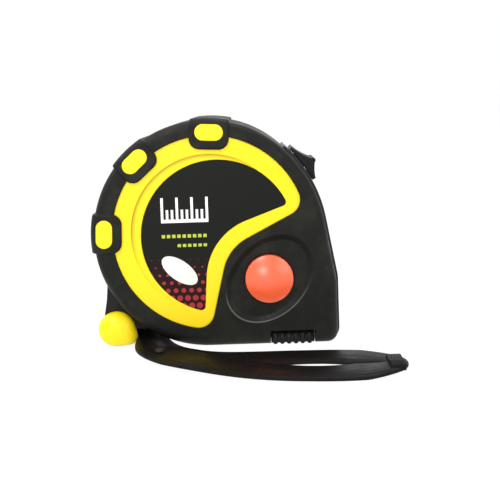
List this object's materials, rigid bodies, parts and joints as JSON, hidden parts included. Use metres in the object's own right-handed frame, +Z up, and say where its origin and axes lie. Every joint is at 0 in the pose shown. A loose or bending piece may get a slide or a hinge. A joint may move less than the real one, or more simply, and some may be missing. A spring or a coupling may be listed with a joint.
{
  "type": "tape measure",
  "caption": "Retractable tape measure in an upright rubber-jacketed case, with thumb lock, side stop button, bottom brake lever, belt clip and wrist strap.",
  "frame": {"origin": "on the flat base the case stands on, on the case's mid-plane, half-way along its length", "axes": "+Z up, label side towards -Y, blade leaves towards +X"},
  "size_m": [0.0824, 0.0639, 0.0622],
  "materials": {
    "yellow_plastic": "moulded, satin gloss",
    "jacket_rubber": "soft moulded rubber, satin",
    "band_plastic": "hard black plastic, smooth",
    "label_film": "printed film, satin",
    "button_plastic": "translucent coral plastic, glossy",
    "black_plastic": "moulded plastic, fine grain",
    "drum_plastic": "moulded nylon",
    "soft_rubber": "rubber pad",
    "spring_steel": "blued spring steel",
    "blade_enamel": "enamelled spring steel",
    "zinc_steel": "zinc-plated steel",
    "nickel_steel": "nickel-plated steel",
    "strap_vinyl": "soft vinyl strap, glossy"
  },
  "bodies": {
    "case": {"front_shell": "yellow_plastic", "rear_shell": "yellow_plastic", "front_jacket": "jacket_rubber", "rear_jacket": "jacket_rubber", "nose_band": "band_plastic", "front_label": "label_film", "case_screws": "zinc_steel", "belt_clip": "nickel_steel", "clip_screw": "zinc_steel", "button_guide": "zinc_steel", "button_spring": "spring_steel", "lever_springs": "spring_steel", "mouth_bumper": "soft_rubber", "lever_pin": "zinc_steel", "strap_pin": "nickel_steel", "strap_cap_front": "yellow_plastic", "strap_cap_rear": "yellow_plastic", "wrist_strap": "strap_vinyl", "strap_rivet": "nickel_steel", "power_spring": "spring_steel"},
    "drum": {"drum": "drum_plastic", "drum_cover": "drum_plastic", "blade_coil": "blade_enamel"},
    "blade": {"blade_run": "blade_enamel", "hook_rivets": "nickel_steel"},
    "hook": {"end_hook": "nickel_steel"},
    "thumb_lock": {"thumb_lock": "black_plastic", "lock_arm": "drum_plastic", "lock_shoe": "soft_rubber"},
    "stop_button": {"stop_button": "button_plastic", "stop_pad": "soft_rubber"},
    "brake_lever": {"brake_lever": "black_plastic", "brake_shoe": "soft_rubber"}
  },
  "joints": [
    {"name": "blade_out", "type": "slide", "parent": "case", "child": "blade", "axis": [1, 0, 0], "range_m": [0, 3], "stiffness_N_per_m": 0.5, "springref_m": -1},
    {"name": "drum_spin", "type": "hinge", "parent": "case", "child": "drum", "pos_m": [-0.0016, 0, 0.0308], "axis": [0, -1, 0], "range_deg": [0, 7200]},
    {"name": "hook_play", "type": "slide", "parent": "blade", "child": "hook", "axis": [1, 0, 0], "range_m": [0, 0.0009]},
    {"name": "thumb_lock", "type": "hinge", "parent": "case", "child": "thumb_lock", "pos_m": [-0.00436, 0, 0.02751], "axis": [0, 1, 0], "range_deg": [0, 11]},
    {"name": "stop_button", "type": "slide", "parent": "case", "child": "stop_button", "axis": [0, 1, 0], "range_m": [0, 0.002], "stiffness_N_per_m": 600, "deforming": ["button_spring"]},
    {"name": "brake_lever", "type": "hinge", "parent": "case", "child": "brake_lever", "pos_m": [0.0114, 0, 0.0038], "axis": [0, -1, 0], "range_deg": [0, 3.4], "stiffness_Nm_per_rad": 0.15, "deforming": ["lever_springs"]}
  ],
  "couplings": [
    {"joint": "drum_spin", "follows": "blade_out", "rad_per_m": 41.84}
  ]
}
